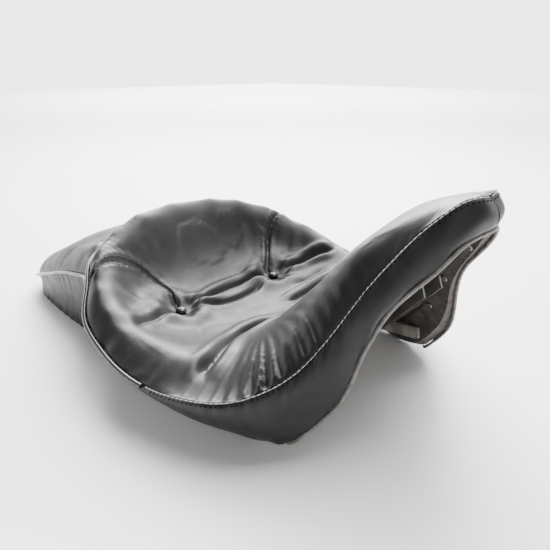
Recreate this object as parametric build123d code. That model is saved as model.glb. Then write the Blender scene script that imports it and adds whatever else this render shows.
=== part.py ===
from build123d import *
import os
import numpy as np

# Two-up motorcycle seat: deep rider bucket with a rising tank-slope nose and a
# short pillion pad behind it.  Units are millimetres.  +X runs to the nose,
# +Y to the rider's left, +Z up.  Z = 0 is the surface that the seat lies on,
# and the origin is the bottom centre of the seat's own box.
#
# The form is carried by station tables (half of a symmetric seat) and a
# smooth height surface.  Every sewn panel is a thin closed solid cut to those
# stations, with the foam bun, the moulded pan and the hardware beneath it.

# ------------------------------------------------------------------ driving sizes
X_SHIFT = 16.5                 # station X to part X (puts the box centre on X = 0)
COVER_T = 2.0                  # vinyl and its scrim foam
GAP = 0.5                      # clearance between cover, foam and pan
PAN_T = 3.0                    # moulded pan wall
PIPING_R = 2.2                 # welt cord radius
TRIM_R = 1.7                   # hem trim radius
BUTTON_PITCH = 150.0           # the two tuft buttons, centre to centre
BUTTON_R = 7.0                 # covered button radius
BUTTON_H = 5.0                 # covered button dome height
BUTTON_Z = 48.0                # underside of the button caps
TWINE_R = 1.1                  # tufting twine radius
ANCHOR_R = 9.0                 # tufting washer radius
SLOT_GAP = 26.0                # clear width between the front bracket cheeks
BRACKET_T = 2.5                # pressed steel thickness
REAR_HOLE_D = 8.5              # clearance hole for an M8 / 5-16 fender screw
REAR_TAB_W = 44.0
REAR_TAB_T = 3.0
RIM_TUCK = 7.0                 # pillion cover passes this far under the bucket rim welt
BUMPER_R = 14.0
BUMPER_H = 13.0

# ------------------------------------------------------------------ station tables
# perimeter seam | band shoulder | band belly | hem, each x, half width, z
STATIONS = np.array([
    [299, 0, 222, 305, 0, 216, 308, 0, 207, 305, 0, 198],
    [298, 12, 223, 304, 13, 216, 306, 14, 207, 303, 14, 197],
    [293, 24, 222, 298, 26, 213, 300, 28, 202, 298, 30, 191],
    [284, 36, 213, 288, 40, 203, 291, 42, 191, 291, 41, 179],
    [270, 48, 195, 273, 53, 186, 276, 56, 171, 276, 53, 158],
    [258, 59, 175, 260, 65, 165, 263, 69, 149, 262, 63, 136],
    [248, 70, 156, 249, 78, 144, 252, 80, 126, 254, 74, 112],
    [240, 84, 135, 243, 92, 121, 247, 92, 102, 250, 84, 90],
    [232, 102, 112, 235, 110, 97, 240, 107, 75, 245, 93, 64],
    [221, 123, 90, 225, 128, 77, 227, 122, 54, 230, 106, 37],
    [205, 144, 75, 209, 147, 64, 209, 139, 40, 208, 116, 11.2],
    [181, 162, 63, 183, 165, 53, 184, 152, 31, 179, 123, 1.1],
    [148, 178, 58, 149, 179, 50, 147, 168, 30, 143, 130, 2.1],
    [111, 186, 54, 112, 186, 47, 109, 175, 34, 102, 142, 13],
    [68, 189, 55, 69, 189, 49, 66, 178, 43, 62, 150, 24],
    [28, 187, 62, 28, 187, 57, 25, 175, 49, 24, 149, 27],
    [-12, 179, 75, -13, 179, 69, -14, 168, 56, -16, 144, 16],
    [-44, 158, 92, -46, 158, 85, -47, 152, 66, -48, 139, 7],
    [-74, 139, 104, -77, 140, 95, -74, 132, 82, -64, 104, 64],
    [-98, 110, 109, -102, 111, 100, -98, 103, 87, -86, 80, 68],
    [-118, 70, 111, -122, 71, 102, -118, 66, 88, -104, 50, 68],
    [-132, 0, 111, -136, 0, 102, -131, 0, 88, -114, 0, 68],
], float)
ROW_J = 17                     # station where the pillion meets the bucket rim

# heights of the sat-on surface, before its edges roll down to the seam
TOP_POINTS = [
    (0, 0, 48), (45, 0, 45), (80, 0, 43), (-38, 0, 56), (-72, 0, 86), (-100, 0, 126),
    (-121, 0, 147), (-136, 0, 148), (0, 40, 47), (0, 75, 46), (45, 60, 45), (70, 40, 44),
    (-45, 50, 63), (-76, 45, 94), (-40, 85, 66), (0, 110, 58), (50, 100, 51), (90, 70, 48),
    (-108, 58, 144), (-120, 64, 145), (-96, 96, 136), (-108, 104, 136), (-74, 128, 124),
    (-84, 137, 123), (-50, 147, 114), (-56, 156, 112), (-20, 160, 102), (-25, 172, 99),
    (12, 167, 88), (10, 181, 82), (45, 168, 77), (45, 184, 71), (80, 160, 71), (85, 180, 64),
    (112, 150, 69), (122, 170, 62), (-72, 88, 101), (-45, 115, 88), (-5, 138, 76),
    (40, 138, 64), (80, 125, 60), (110, 0, 62), (135, 0, 86), (160, 0, 114), (183, 0, 138),
    (196, 0, 155), (208, 0, 168), (217, 0, 180), (234, 0, 197), (250, 0, 208), (266, 0, 215),
    (280, 0, 219), (292, 0, 222), (299, 0, 223), (120, 50, 66), (150, 45, 98), (185, 45, 136),
    (215, 40, 172), (240, 30, 196), (260, 25, 209), (280, 20, 218), (292, 12, 222),
    (125, 90, 66), (150, 90, 84), (180, 85, 112), (205, 75, 144), (228, 62, 172),
    (248, 46, 193), (266, 38, 206), (282, 28, 216), (140, 125, 66), (165, 125, 77),
    (190, 115, 95), (212, 100, 119), (230, 84, 144), (243, 68, 165), (256, 57, 183),
    (168, 150, 63), (192, 140, 75), (212, 124, 95), (226, 106, 116),
]

# pillion: welt line | lower edge, from the bucket rim round to the rear centre
PILLION = np.array([
    [-47, 156, 84, -50, 139, 6],
    [-66, 148, 87, -68, 138, 2],
    [-84, 142, 86, -84, 137, 0.5],
    [-110, 140, 81, -110, 137, 0.5],
    [-160, 138, 69, -160, 138, 0.5],
    [-205, 136, 54, -205, 137, 0.5],
    [-250, 133, 39, -250, 134, 0.5],
    [-284, 127, 26, -284, 127, 2],
    [-303, 112, 19, -302, 112, 5],
    [-312, 84, 16, -310, 84, 7],
    [-316, 45, 15, -313, 45, 8],
    [-317, 0, 15, -314, 0, 8],
], float)
PILLION_TOP = [
    (-120, 0, 121), (-150, 0, 113), (-190, 0, 102), (-230, 0, 88), (-265, 0, 72), (-295, 0, 55), (-317, 0, 42),
    (-110, 60, 121), (-150, 60, 111), (-190, 60, 100), (-230, 60, 86), (-265, 60, 70), (-295, 60, 54), (-316, 50, 42),
    (-85, 115, 115), (-110, 110, 112), (-150, 110, 100), (-190, 110, 88), (-230, 110, 74), (-265, 105, 60), (-292, 100, 48),
    (-60, 140, 112), (-90, 138, 106), (-150, 135, 92), (-205, 133, 77), (-250, 130, 62), (-285, 118, 48),
]

# pan: hem line of the pan with the roof height above it (x, half width, z, roof x, roof z)
PAN = np.array([
    [296, 6, 189.5, 295.5, 190.5],
    [293, 20, 186, 291, 188.5],
    [287, 31, 177, 282.5, 183.5],
    [276, 44, 161, 267.5, 170],
    [262, 54, 139, 251, 150],
    [252, 64, 115, 235, 130],
    [247, 73, 93, 220, 113],
    [240, 82, 68, 204, 95.5],
    [225, 94, 42, 187, 79],
    [204, 105, 17, 168, 61],
    [178, 113, 7, 148, 47],
    [145, 121, 8, 128, 36],
    [104, 133, 17, 98, 26.5],
    [62, 141, 28, 62, 22],
    [24, 140, 31, 24, 22],
    [-16, 136, 20, -16, 24],
    [-50, 132, 10, -50, 26],
    [-84, 131, 4, -84, 27],
    [-120, 131, 3, -120, 26],
    [-160, 131, 3, -160, 24],
    [-205, 130, 3, -205, 21],
    [-250, 127, 3, -250, 17],
    [-284, 119, 5, -284, 13],
    [-300, 94, 9, -301, 11.5],
], float)


# ------------------------------------------------------------------ curve helpers
def spline(t, P):
    """Natural cubic spline through P at parameters t."""
    t = np.asarray(t, float)
    P = np.asarray(P, float)
    flat = P.ndim == 1
    if flat:
        P = P[:, None]
    n, h = len(t), np.diff(t)
    A, B = np.zeros((n, n)), np.zeros((n, P.shape[1]))
    A[0, 0] = A[-1, -1] = 1
    for i in range(1, n - 1):
        A[i, i - 1], A[i, i], A[i, i + 1] = h[i - 1], 2 * (h[i - 1] + h[i]), h[i]
        B[i] = 6 * ((P[i + 1] - P[i]) / h[i] - (P[i] - P[i - 1]) / h[i - 1])
    M = np.linalg.solve(A, B)

    def f(x):
        x = np.asarray(x, float)
        shape = x.shape
        x = x.ravel()
        i = np.clip(np.searchsorted(t, x, side="right") - 1, 0, n - 2)
        hh = h[i][:, None]
        a, b = (t[i + 1] - x)[:, None], (x - t[i])[:, None]
        y = (M[i] * a**3 / (6 * hh) + M[i + 1] * b**3 / (6 * hh)
             + (P[i] / hh - M[i] * hh / 6) * a + (P[i + 1] / hh - M[i + 1] * hh / 6) * b)
        y = y.reshape(shape + (P.shape[1],))
        return y[..., 0] if flat else y
    return f


def mirrored(T, P, k=4):
    """Spline of a half table that stays smooth across the centre plane."""
    tt = np.concatenate([-T[k:0:-1], T, 2 * T[-1] - T[-2:-2 - k:-1]])
    m = np.array([1, -1, 1])
    return spline(tt, np.concatenate([P[k:0:-1] * m, P, P[-2:-2 - k:-1] * m]))


def half_open(T, P, k=4):
    """Spline of a half table that crosses the centre plane only at its last row."""
    tt = np.concatenate([T, 2 * T[-1] - T[-2:-2 - k:-1]])
    return spline(tt, np.concatenate([P, P[-2:-2 - k:-1] * np.array([1, -1, 1])]))


def lengths(P):
    return np.concatenate([[0], np.cumsum(np.linalg.norm(np.diff(P, axis=0), axis=1))])


T = lengths(STATIONS[:, 0:3])
T = T / T[-1]
SEAM, SHOULDER, BELLY, HEM = [mirrored(T, STATIONS[:, i:i + 3]) for i in (0, 3, 6, 9)]
S_J = T[ROW_J]
TP = lengths(PILLION[:, 0:3])
TP = TP / TP[-1]
WELT = half_open(TP, PILLION[:, 0:3])
LOWER = half_open(TP, PILLION[:, 3:6])


def thin_plate(points):
    P, Z = [], []
    for x, y, z in points:
        P.append((x, y))
        Z.append(z)
        if y > 0:
            P.append((x, -y))
            Z.append(z)
    P, Z = np.array(P) / 100, np.array(Z, float)
    n = len(P)

    def kern(r):
        return np.where(r > 0, r**2 * np.log(r + 1e-12), 0)
    K = kern(np.linalg.norm(P[:, None] - P[None], axis=2)) + np.eye(n) * 0.002
    Q = np.c_[np.ones(n), P]
    w = np.linalg.solve(np.block([[K, Q], [Q.T, np.zeros((3, 3))]]), np.r_[Z, 0, 0, 0])

    def f(x, y):
        x, y = np.asarray(x, float), np.asarray(y, float)
        X = np.stack([x.ravel(), y.ravel()], 1) / 100
        k = kern(np.linalg.norm(X[:, None] - P[None], axis=2))
        return (k @ w[:n] + w[n] + X @ w[n + 1:]).reshape(x.shape)
    return f


TOP = thin_plate(TOP_POINTS)
PTOP = thin_plate(PILLION_TOP)
ROLL = spline([-.1, 0, .08, .2, .32, .42, .55, .7, .85, 1., 1.1],
              [8, 9, 12, 18, 26, 34, 40, 40, 34, 30, 30])


def nearest(loop, x, y):
    """Plan distance to a polyline loop, and the index position along it."""
    p = np.stack([np.ravel(x), np.ravel(y)], 1)
    a, b = loop[:-1, :2], loop[1:, :2]
    ab = b - a
    t = np.clip(((p[:, None] - a) * ab).sum(2) / (ab**2).sum(1), 0, 1)
    q = a + ab * t[..., None]
    d = np.linalg.norm(p[:, None] - q, axis=2)
    i = d.argmin(1)
    k = np.arange(len(p))
    return d[k, i].reshape(np.shape(x)), (i + t[k, i]).reshape(np.shape(x))


SS = np.linspace(-1, 1, 401)
LOOP = SEAM(np.abs(SS)) * np.stack([np.ones(401), np.where(SS < 0, -1.0, 1.0), np.ones(401)], 1)
ROLL_W, SEAM_Z = ROLL(np.abs(SS)), LOOP[:, 2]


def height(x, y):
    """Sat-on surface of the rider's bucket and nose."""
    d, i = nearest(LOOP, x, y)
    w = np.interp(i, np.arange(len(SS)), ROLL_W)
    zs = np.interp(i, np.arange(len(SS)), SEAM_Z)
    g = np.sqrt(np.clip(1 - (1 - np.clip(d / w, 0, 1))**2, 0, 1))
    return zs + (TOP(x, y) - zs) * g


# the pillion's outline is its welt; the bucket rim closes it in front
P_SIDE = WELT(np.linspace(0, 1, 121))
P_LOOP = np.concatenate([P_SIDE, (P_SIDE * [1, -1, 1])[-2::-1]])
RIM = SEAM(np.concatenate([np.linspace(S_J, 1, 60), 2 - np.linspace(1, S_J, 60)[1:]]))


def pillion_height(x, y):
    """Sat-on surface of the pillion pad, tucked under the bucket rim in front."""
    d, i = nearest(P_LOOP, x, y)
    zs = np.interp(i, np.arange(len(P_LOOP)), P_LOOP[:, 2])
    g = np.sqrt(np.clip(1 - (1 - np.clip(d / 26, 0, 1))**2, 0, 1))
    z = zs + (PTOP(x, y) - zs) * g
    d2, j = nearest(RIM, x, y)
    zr = np.interp(j, np.arange(len(RIM)), RIM[:, 2]) - RIM_TUCK
    g2 = np.sqrt(np.clip(1 - (1 - np.clip(d2 / 22, 0, 1))**2, 0, 1))
    return np.minimum(z, zr) * (1 - g2) + z * g2


# ------------------------------------------------------------------ solid helpers
def normals(G):
    du = np.gradient(G, axis=0)
    dv = np.gradient(G, axis=1)
    n = np.cross(du, dv)
    return n / (np.linalg.norm(n, axis=2, keepdims=True) + 1e-12)


def offset(G, d, up=None):
    """Grid moved by d along its normals; d > 0 is the side that `up` is on."""
    n = normals(G)
    ref = np.array(up if up is not None else (0, 0, 1.0))
    if (n.reshape(-1, 3) @ ref).mean() < 0:
        n = -n
    return G + n * d


def vec(p):
    return Vector(float(p[0]) + X_SHIFT, float(p[1]), float(p[2]))


def between(A, B):
    """Closed solid between two grids of the same shape, lofted row by row."""
    wires, caps = [], []
    for k, (a, b) in enumerate(zip(A, B)):
        e1 = Edge.make_spline([vec(p) for p in a])
        e2 = Edge.make_spline([vec(p) for p in b])
        wires.append(Wire([e1, Edge.make_line(vec(a[-1]), vec(b[-1])), e2,
                           Edge.make_line(vec(b[0]), vec(a[0]))]))
        if k in (0, len(A) - 1):
            caps.append(Face.make_surface_from_curves(e1, e2))
    walls = list(Solid.make_loft(wires, False).faces())
    return Solid(Shell(walls + caps))


def tube(P, r, up=(0, 0, 1.0)):
    """Round cord through the points P."""
    P = np.asarray(P, float)
    t = np.gradient(P, axis=0)
    t /= np.linalg.norm(t, axis=1, keepdims=True)
    rings = []
    for p, d in zip(P, t):
        b = np.cross(d, np.array(up))
        pl = Plane(origin=vec(p), x_dir=Vector(*b), z_dir=Vector(*d))
        rings.append(Wire([Edge.make_circle(r, pl)]))
    return Solid.make_loft(rings, False)


def place(shape, x, y, z):
    return Pos(x + X_SHIFT, y, z) * shape


MIR = np.array([1, -1, 1.0])
PARTS = {}


def cosine(n, k=1.0):
    """-1..1, closer together at both ends."""
    a = np.linspace(-1, 1, n)
    return (1 - k) * a + k * np.sin(a * np.pi / 2)


# ------------------------------------------------------------------ cover panels
S_TIP = 0.045                  # the nose panel ends on the seam at this station


def cross_row(s, x_mid, power, n=25, edge=1.0):
    """Plan points of a row from the right seam to the left seam."""
    e = SEAM(s)
    t = cosine(n) * edge
    y = e[1] * t
    x = x_mid + (e[0] - x_mid) * np.abs(t) ** power
    return np.stack([x, y], 1)


def row_tables(n_rows, edge=1.0, s_end=S_J):
    s = S_TIP + (s_end - S_TIP) * np.linspace(0, 1, n_rows)
    mid = spline([0, .03, .1, .2, .35, .5, .65, .8, .92, 1.0],
                 [297.5, 291, 272, 243, 190, 140, 92, 48, 14, 0])
    power = spline([0, .2, .5, .8, 1.0], [2.0, 2.0, 2.2, 2.8, 3.4])
    q = (s - S_TIP) / (S_J - S_TIP)
    return s, mid(q), power(q)


def panel_grid(n_rows=34, n=25, edge=1.0):
    rows = []
    s, mid, power = row_tables(n_rows)
    for a, m, p in zip(s, mid, power):
        xy = cross_row(a, m, p, n, edge)
        rows.append(xy)
    R = np.array(rows)
    z = height(R[..., 0], R[..., 1])
    return np.concatenate([R, z[..., None]], 2)


def lumbar_grid(n_u=25, n_v=16, edge=1.0):
    """Coons patch: tuft line, two slant seams and the rear rim."""
    ej = SEAM(S_J)
    by = BUTTON_PITCH / 2
    mid_x, pw = 0.0, 3.4
    u = np.linspace(-1, 1, n_u)
    v = np.linspace(0, 1, n_v)
    v = 1 - (1 - v) ** 1.5
    bottom = np.stack([mid_x + (ej[0] - mid_x) * np.abs(u * by / ej[1]) ** pw, u * by], 1)
    su = np.concatenate([np.linspace(S_J, 1, n_u // 2 + 1), np.linspace(1, S_J, n_u // 2 + 1)[1:]])
    top = SEAM(su)[:, :2] * np.stack([np.ones(n_u), np.sign(u)], 1)
    yl = by + (ej[1] - by) * v
    left = np.stack([mid_x + (ej[0] - mid_x) * (yl / ej[1]) ** pw, yl], 1)
    right = left * [1, -1]
    G = np.zeros((n_v, n_u, 2))
    for i, b in enumerate(v):
        for j, a in enumerate((u + 1) / 2):
            G[i, j] = ((1 - b) * bottom[j] + b * top[j] + (1 - a) * right[i] + a * left[i]
                       - (1 - b) * ((1 - a) * bottom[0] + a * bottom[-1])
                       - b * ((1 - a) * top[0] + a * top[-1]))
    G = np.array([-85.0, 0]) + (G - np.array([-85.0, 0])) * edge
    z = height(G[..., 0], G[..., 1])
    return np.concatenate([G, z[..., None]], 2)


def band_grid(s0, s1, n_s=40, n_v=10, sign=1, d=0.0):
    s = np.linspace(s0, s1, n_s)
    nodes = [0, .22, .58, 1.]
    P = [f(s) for f in (SEAM, SHOULDER, BELLY, HEM)]
    G = []
    for v in np.linspace(0.085, 1, n_v):
        row = 0
        for i in range(4):
            l = 1
            for j in range(4):
                if j != i:
                    l *= (v - nodes[j]) / (nodes[i] - nodes[j])
            row = row + l * P[i]
        G.append(row)
    G = np.stack(G, 1)
    if d:
        G = offset(G, d, up=(0, 1, 0))
    return G * np.array([1, sign, 1.0])


def pillion_grid(n_rows=16, n=19, inset=0.0):
    """Rows from the bucket rim to the rear welt."""
    t = cosine(n)
    ys = np.abs(t) * 156
    rim_s = np.linspace(S_J, 1, 80)
    rim = SEAM(rim_s)
    shape = np.interp(ys, rim[::-1, 1], rim[::-1, 0])
    shape = (shape - shape[0]) / (shape[n // 2] - shape[0])
    q = np.linspace(0, 1, n_rows)
    ends = WELT(0.93 * (0.03 + 0.97 * q))
    mid = spline([0, .5, 1], [-140, -232, -316.5])(q)
    G = []
    for k in range(n_rows):
        x_e, y_e = ends[k, 0], ends[k, 1]
        y = y_e * t
        x = x_e + (mid[k] - x_e) * shape
        G.append(np.stack([x, y], 1))
    G = np.array(G)
    c = np.array([-200.0, 0])
    G = c + (G - c) * (1 - inset)
    z = pillion_height(G[..., 0], G[..., 1])
    return np.concatenate([G, z[..., None]], 2)


def pillion_band_grid(s0, s1, n_s=26, n_v=6, sign=1):
    s = np.linspace(s0, s1, n_s)
    a, b = WELT(s), LOWER(s)
    G = []
    for v in np.linspace(0.02, 1, n_v):
        p = a + (b - a) * v
        t = np.gradient(a, axis=0)
        out = np.stack([t[:, 1], -t[:, 0], 0 * t[:, 0]], 1)
        out /= -np.linalg.norm(out, axis=1, keepdims=True)
        tall = np.clip((a[:, 2] - b[:, 2]) / 80, 0, 1)[:, None]
        G.append(p + out * 4.0 * np.sin(np.pi * v) * tall)
    return np.stack(G, 1) * np.array([1, sign, 1.0])


def pan_rows(n=21, scale=1.0):
    """Underside of the pan: boxy arch between the hems."""
    a = 0.09
    phi = np.linspace(-np.pi / 2, np.pi / 2, n) * scale
    yy = (np.sin(phi) + a * np.sin(3 * phi)) / (1 - a)
    zz = (np.cos(phi) - a * np.cos(3 * phi)) / (1 - a)
    G = []
    for xh, yh, zh, xr, zr in PAN:
        G.append(np.stack([xh + (xr - xh) * zz, yh * yy, zh + (zr - zh) * zz], 1))
    return np.array(G)


def row_normals(G):
    """Unit normals of each pan row within the row's own plane, upper side."""
    N = np.zeros_like(G)
    for i, row in enumerate(G):
        mid = row[len(row) // 2]
        w = mid - (row[0] + row[-1]) / 2
        w[1] = 0
        w /= np.linalg.norm(w)
        w = w if w[2] > 0 else -w
        t = np.gradient(row, axis=0)
        ty, tw = t[:, 1], t @ w
        n = np.stack([0 * ty, -tw, 0 * ty], 1) + ty[:, None] * w
        N[i] = n / np.linalg.norm(n, axis=1, keepdims=True)
    return N


def planar_loft(A, B):
    """Closed solid between two grids whose rows share a plane."""
    wires = []
    for a, b in zip(A, B):
        wires.append(Wire([Edge.make_spline([vec(p) for p in a]), Edge.make_line(vec(a[-1]), vec(b[-1])),
                           Edge.make_spline([vec(p) for p in b[::-1]]), Edge.make_line(vec(b[0]), vec(a[0]))]))
    return Solid.make_loft(wires, False)


def rivet(p, n, r, h, off=0.45):
    """Domed rivet head standing off the surface point p along n."""
    pl = Plane(origin=vec(p + n * off), z_dir=Vector(*n))
    head = Cylinder(r, h, align=(Align.CENTER, Align.CENTER, Align.MIN))
    head = fillet(head.edges().group_by(Axis.Z)[-1], h * 0.7)
    return pl * head


def post_holes(shape, r=2.0):
    for sy in (-1, 1):
        shape = shape - place(Cylinder(r, 90), 0, sy * BUTTON_PITCH / 2, 40)
    return shape


# ================================================================== build
S_END = S_J

# ---- covers
seat = panel_grid(26, 21)
PARTS["seat_panel"] = post_holes(between(seat, offset(seat, -COVER_T)))
lum = lumbar_grid(21, 14, edge=0.993)
PARTS["lumbar_panel"] = between(lum, offset(lum, -COVER_T))
for name, sg in (("left", 1), ("right", -1)):
    g = band_grid(0.0012, S_J, 26, 8, sign=1)
    gi = offset(g, -COVER_T, up=(0, 1, 0))
    m = np.array([1, sg, 1.0])
    PARTS["side_band_" + name] = between(g * m, gi * m)
ptop = pillion_grid()
PARTS["pillion_top_panel"] = between(ptop, offset(ptop, -COVER_T))
for name, sg in (("left", 1), ("right", -1)):
    g = pillion_band_grid(0.012, 0.9985)
    gi = offset(g, -COVER_T, up=(0, 1, 0))
    m = np.array([1, sg, 1.0])
    PARTS["pillion_band_" + name] = between(g * m, gi * m)

# ---- welts and hem trim
S_P0 = 0.50                    # the bucket welt starts here; ahead of it the seam is top-stitched


def outward(curve, s, d, dz=0.0):
    P = curve(s)
    t = curve(s + 1e-4) - curve(s - 1e-4)
    o = np.stack([t[:, 1], -t[:, 0], 0 * t[:, 0]], 1)
    o /= np.linalg.norm(o, axis=1, keepdims=True)
    if (o[:, 1] * P[:, 1]).mean() < 0:
        o = -o
    return P + o * d + np.array([0, 0, dz])


half = outward(SEAM, np.linspace(S_P0, 1, 22), PIPING_R + 0.5)
half[-1, 1] = 0
PARTS["bucket_piping"] = tube(np.concatenate([half, (half * MIR)[-2::-1]]), PIPING_R)
half = outward(WELT, np.linspace(0.05, 1, 20), PIPING_R + 0.5, 0.0)
half[-1, 1] = 0
PARTS["pillion_piping"] = tube(np.concatenate([half, (half * MIR)[-2::-1]]), PIPING_R)
s_hem = np.linspace(0, T[10], 20)
hem = HEM(s_hem)
bel = BELLY(s_hem)
d = hem - bel
d /= np.linalg.norm(d, axis=1, keepdims=True)
hem = hem + d * (TRIM_R + 0.9)
hem[0, 1] = 0
PARTS["hem_trim"] = tube(np.concatenate([(hem * MIR)[::-1], hem[1:]]), TRIM_R, up=(0.35, 0, 1.0))

# ---- pan
under = pan_rows(21)
upper = under + row_normals(under) * PAN_T
pan = planar_loft(under, upper)
for sy in (-1, 1):
    pan = pan - place(Cylinder(2.0, 60), 0, sy * BUTTON_PITCH / 2, 25)
PARTS["base_pan"] = pan

# ---- foam
seat_in = panel_grid(22, 19)
seat_in = np.concatenate([seat_in[1:-1]])
t_in = np.linspace(-1, 1, 19)
rows = []
s_r, mid_r, pow_r = row_tables(24)
for a, m_, p_ in zip(s_r[1:-1], mid_r[1:-1], pow_r[1:-1]):
    xy = cross_row(a, m_, p_, 19, 0.94)
    rows.append(np.concatenate([xy, height(xy[:, 0], xy[:, 1])[:, None]], 1))
foam_top = offset(np.array(rows), -(COVER_T + 1.2))
pan_f = pan_rows(19, scale=0.80)
pan_f = pan_f + row_normals(pan_f) * (PAN_T + 1.0)
n_f = len(foam_top)
# pan stations under the bucket and nose, matched row for row
k_f = np.interp(np.linspace(0, 1, n_f), np.linspace(0, 1, 14), np.linspace(1.2, 14.6, 14))
f_pan = spline(np.arange(len(pan_f)), pan_f.reshape(len(pan_f), -1))
mids = foam_top[:, 9, 0]
roof = f_pan(np.linspace(1.0, 15.6, 60)).reshape(60, 19, 3)
k_f = np.interp(-(mids - np.clip(mids - 150, 0, 60) * 0.1), -roof[:, 9, 0], np.linspace(1.0, 15.6, 60))
foam_bot = f_pan(k_f).reshape(n_f, 19, 3)
foam_bot[..., 2] = np.minimum(foam_bot[..., 2], foam_top[..., 2] - 8)
PARTS["rider_foam"] = post_holes(between(foam_top, foam_bot), 2.2)

lum_in = lumbar_grid(19, 12, edge=0.90)
lum_top = offset(lum_in, -(COVER_T + 1.2))
lum_bot = lum_top.copy()
lum_bot[..., 0] = -85 + (lum_bot[..., 0] + 85) * 0.96
lum_bot[..., 1] *= 0.80
lum_bot[..., 2] = 32.5
PARTS["lumbar_foam"] = between(lum_top, lum_bot)

pil_in = pillion_grid(14, 17, inset=0.09)
pil_in[..., 0] -= 2
pil_in[..., 2] = pillion_height(pil_in[..., 0], pil_in[..., 1])
pil_top = offset(pil_in, -(COVER_T + 3.0))
pil_bot = pil_top.copy()
pil_bot[..., 1] *= 0.93
pil_bot[..., 2] = np.interp(-pil_bot[..., 0], [100, 160, 205, 250, 284, 320], [32.5, 29.5, 26.5, 22.5, 18.5, 16.5])
pil_bot[..., 2] = np.minimum(pil_bot[..., 2], pil_top[..., 2] - 4)
PARTS["pillion_foam"] = between(pil_top, pil_bot)

# ---- tuft buttons: domed cap, twine through foam and pan, washer below
for name, sg in (("left", 1), ("right", -1)):
    y = sg * BUTTON_PITCH / 2
    cap = Cylinder(BUTTON_R, BUTTON_H)
    cap = fillet(cap.edges().group_by(Axis.Z)[-1], BUTTON_H * 0.8)
    PARTS["button_" + name] = place(cap, 0, y, BUTTON_Z + BUTTON_H / 2)
    top, bot = BUTTON_Z - 0.1, 20.5
    PARTS["button_twine_" + name] = place(Cylinder(TWINE_R, top - bot), 0, y, (top + bot) / 2)
    washer = Cylinder(ANCHOR_R, 1.6) - Cylinder(TWINE_R + 0.2, 4)
    PARTS["button_anchor_" + name] = place(washer, 0, y, 20.6)

# ---- front bracket: pressed channel whose two cheeks take the frame's tongue
B0, B1 = np.array([206.0, 96.5]), np.array([253.0, 151.5])     # along the roof, x and z
BU = (B1 - B0) / np.linalg.norm(B1 - B0)
BL = float(np.linalg.norm(B1 - B0))
BN = np.array([BU[1], -BU[0]])                                 # away from the roof
B_OFF = 3.2
CHEEK_H = 16.0
ORG = B0 + BN * B_OFF
BP = Plane(origin=Vector(ORG[0] + X_SHIFT, 0, ORG[1]), x_dir=Vector(BU[0], 0, BU[1]),
           z_dir=Vector(BN[0], 0, BN[1]))
HALF = SLOT_GAP / 2
web = Pos(BL / 2, 0, BRACKET_T / 2) * Box(BL, SLOT_GAP + 2 * BRACKET_T, BRACKET_T)
for q in (16.0, BL - 18.0):
    web = web - Pos(q, 0, 0) * Cylinder(2.6, 12)
bracket = web
for sy in (-1, 1):
    cheek = Pos(BL / 2, sy * (HALF + BRACKET_T / 2), (CHEEK_H + BRACKET_T) / 2) * Box(BL, BRACKET_T, CHEEK_H + BRACKET_T)
    cheek = chamfer(cheek.edges().filter_by(Axis.Y).group_by(Axis.Z)[-1].sort_by(Axis.X)[-1], 9.0, 5.0)
    cheek = cheek - Pos(BL / 2, sy * (HALF + BRACKET_T / 2), CHEEK_H * 0.6) * Rot(90, 0, 0) * Cylinder(3.2, 12)
    bracket = bracket + cheek
PARTS["front_bracket"] = BP * bracket
PARTS["front_bracket_rivets"] = Compound(children=[
    BP * Pos(q, 0, 0) * (Pos(0, 0, -1.6) * Cylinder(2.4, 2 * BRACKET_T + 0.6, align=(Align.CENTER, Align.CENTER, Align.MIN))
                        + Pos(0, 0, BRACKET_T + 0.1) * Cylinder(4.4, 1.6, align=(Align.CENTER, Align.CENTER, Align.MIN)))
    for q in (16.0, BL - 18.0)])

# ---- rear bracket: cranked steel tab that the fender screw passes through
TAB_Z = 6.6
prof = [(-256, 14.6), (-300, 9.4), (-313, TAB_Z), (-341, TAB_Z),
        (-341, TAB_Z - REAR_TAB_T), (-313.8, TAB_Z - REAR_TAB_T), (-300.6, 9.4 - REAR_TAB_T), (-256, 14.6 - REAR_TAB_T)]
face = make_face(Polyline(*[(x + X_SHIFT, 0, z) for x, z in prof], close=True))
tab = extrude(face, REAR_TAB_W / 2, dir=(0, 1, 0), both=True)
tab = fillet(tab.edges().filter_by(Axis.Z).sort_by(Axis.X)[:2], 11.0)
HOLE_X = -328.0
tab = tab - place(Cylinder(REAR_HOLE_D / 2, 20), HOLE_X, 0, TAB_Z)
TAB_SCREWS = [(-272, -13), (-272, 13)]
for x, y in TAB_SCREWS:
    tab = tab - place(Cylinder(3.1, 30), x, y, 12)
PARTS["rear_bracket"] = tab
slope = np.degrees(np.arctan2(14.6 - 9.4, 44.0))
PARTS["rear_bracket_screws"] = Compound(children=[
    place(Rot(0, -slope, 0) * (Cylinder(2.8, 4.4) + Pos(0, 0, -3.0) * Cylinder(5.4, 2.2)), x, y, 14.6 - (x + 256) * (9.4 - 14.6) / 44 - 1.9)
    for x, y in TAB_SCREWS])

# ---- rubber buffers that stand on the fender and frame
def buffers(x, y, z_top, h):
    return Compound(children=[
        place(Cone(BUMPER_R - 2.5, BUMPER_R, h) - Pos(0, 0, -h / 2) * Cylinder(4.0, 6), x, sy * y, z_top - h / 2)
        for sy in (-1, 1)])


PARTS["front_buffers"] = buffers(112, 62, 24.8, BUMPER_H)
PARTS["rear_buffers"] = buffers(-206, 66, 18.4, 11.0)

# ---- rest bars inside the belly of the pan
for name, sg in (("left", 1), ("right", -1)):
    bar = Box(62, 4.0, 14)
    bar = fillet(bar.edges().filter_by(Axis.Y), 1.5)
    PARTS["rest_bar_" + name] = place(Rot(0, -7, 0) * bar, 178, sg * 96.0, 30)

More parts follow.
